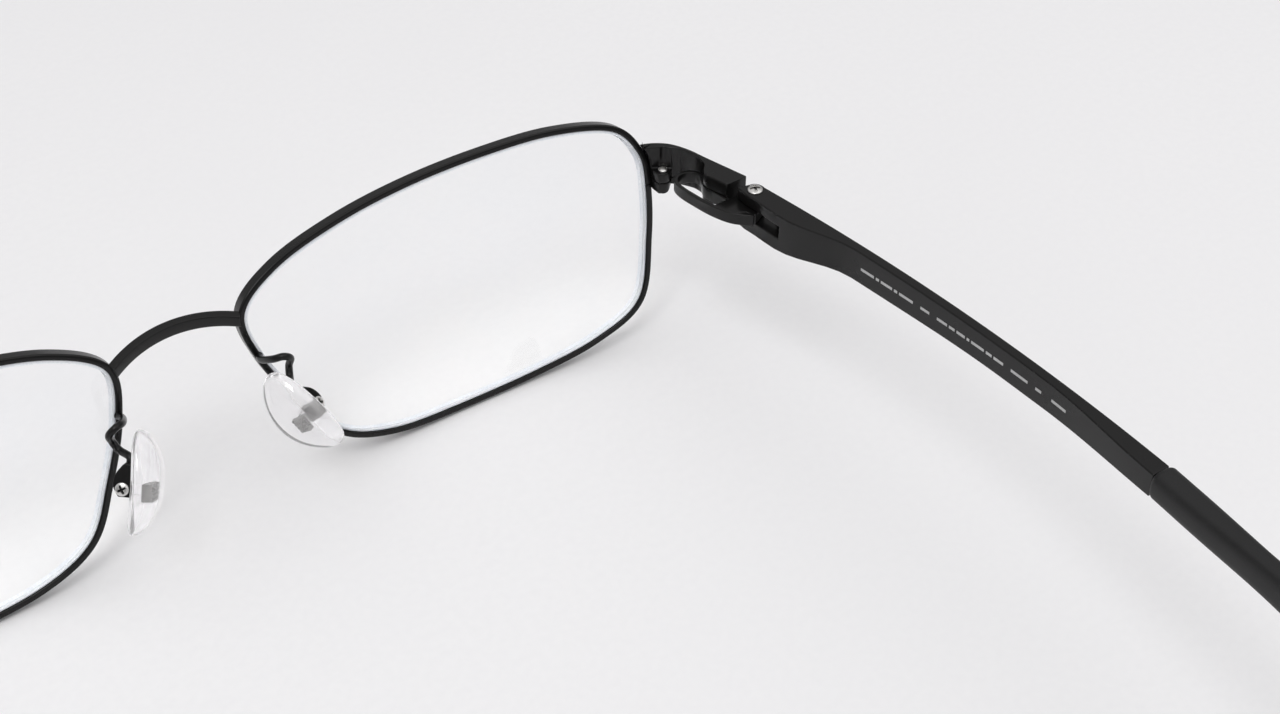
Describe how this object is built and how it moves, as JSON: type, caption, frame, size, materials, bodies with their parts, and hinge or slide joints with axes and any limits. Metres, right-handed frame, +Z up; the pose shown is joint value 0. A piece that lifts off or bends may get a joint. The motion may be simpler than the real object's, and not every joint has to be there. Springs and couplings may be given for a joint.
{
  "type": "eyeglasses",
  "caption": "Full-rim metal eyeglasses with folding temples, open leaf-spring hinges, plastic temple tips and silicone nose pads that rock on their arms.",
  "frame": {"origin": "the middle of the overall width and depth, on the surface that the lower rims and the temple tips stand on", "axes": "+X towards the wearer's left, -Y the way the wearer looks, +Z up; the temples are open"},
  "size_m": [0.1576, 0.1556, 0.0325],
  "materials": {
    "frame_black": "satin black paint",
    "temple_black": "satin black paint",
    "spring_black": "satin dark coating",
    "tip_plastic": "matte black",
    "lens_clear": "clear with an anti-reflection coating",
    "pad_silicone": "clear soft silicone",
    "insert_steel": "bare metal",
    "screw_steel": "bright bare metal"
  },
  "bodies": {
    "front": {"bridge": "frame_black", "left_rim": "frame_black", "left_lens": "lens_clear", "left_endpiece": "frame_black", "left_closing_block": "frame_black", "left_rim_screw": "screw_steel", "left_leaf_spring": "spring_black", "left_pad_arm": "frame_black", "left_pad_screw": "screw_steel", "right_rim": "frame_black", "right_lens": "lens_clear", "right_endpiece": "frame_black", "right_closing_block": "frame_black", "right_rim_screw": "screw_steel", "right_leaf_spring": "spring_black", "right_pad_arm": "frame_black", "right_pad_screw": "screw_steel"},
    "left_arm": {"left_temple": "temple_black", "left_temple_tip": "tip_plastic", "left_hinge_screw": "screw_steel"},
    "left_pad": {"left_nose_pad": "pad_silicone", "left_pad_insert": "insert_steel"},
    "right_arm": {"right_temple": "temple_black", "right_temple_tip": "tip_plastic", "right_hinge_screw": "screw_steel"},
    "right_pad": {"right_nose_pad": "pad_silicone", "right_pad_insert": "insert_steel"}
  },
  "joints": [
    {"name": "left_fold", "type": "hinge", "parent": "front", "child": "left_arm", "pos_m": [0.0706, -0.05585, 0.0246], "axis": [0, 0, 1], "range_deg": [0, 92]},
    {"name": "right_fold", "type": "hinge", "parent": "front", "child": "right_arm", "pos_m": [-0.0706, -0.05585, 0.0246], "axis": [0, 0, -1], "range_deg": [0, 88]},
    {"name": "left_pad_rock", "type": "hinge", "parent": "front", "child": "left_pad", "pos_m": [0.0118, -0.0639, 0.0156], "axis": [0.4864, 0.6843, 0.5433], "range_deg": [-4, 4]},
    {"name": "right_pad_rock", "type": "hinge", "parent": "front", "child": "right_pad", "pos_m": [-0.0118, -0.0639, 0.0156], "axis": [-0.4864, 0.6843, 0.5433], "range_deg": [-4, 4]}
  ]
}
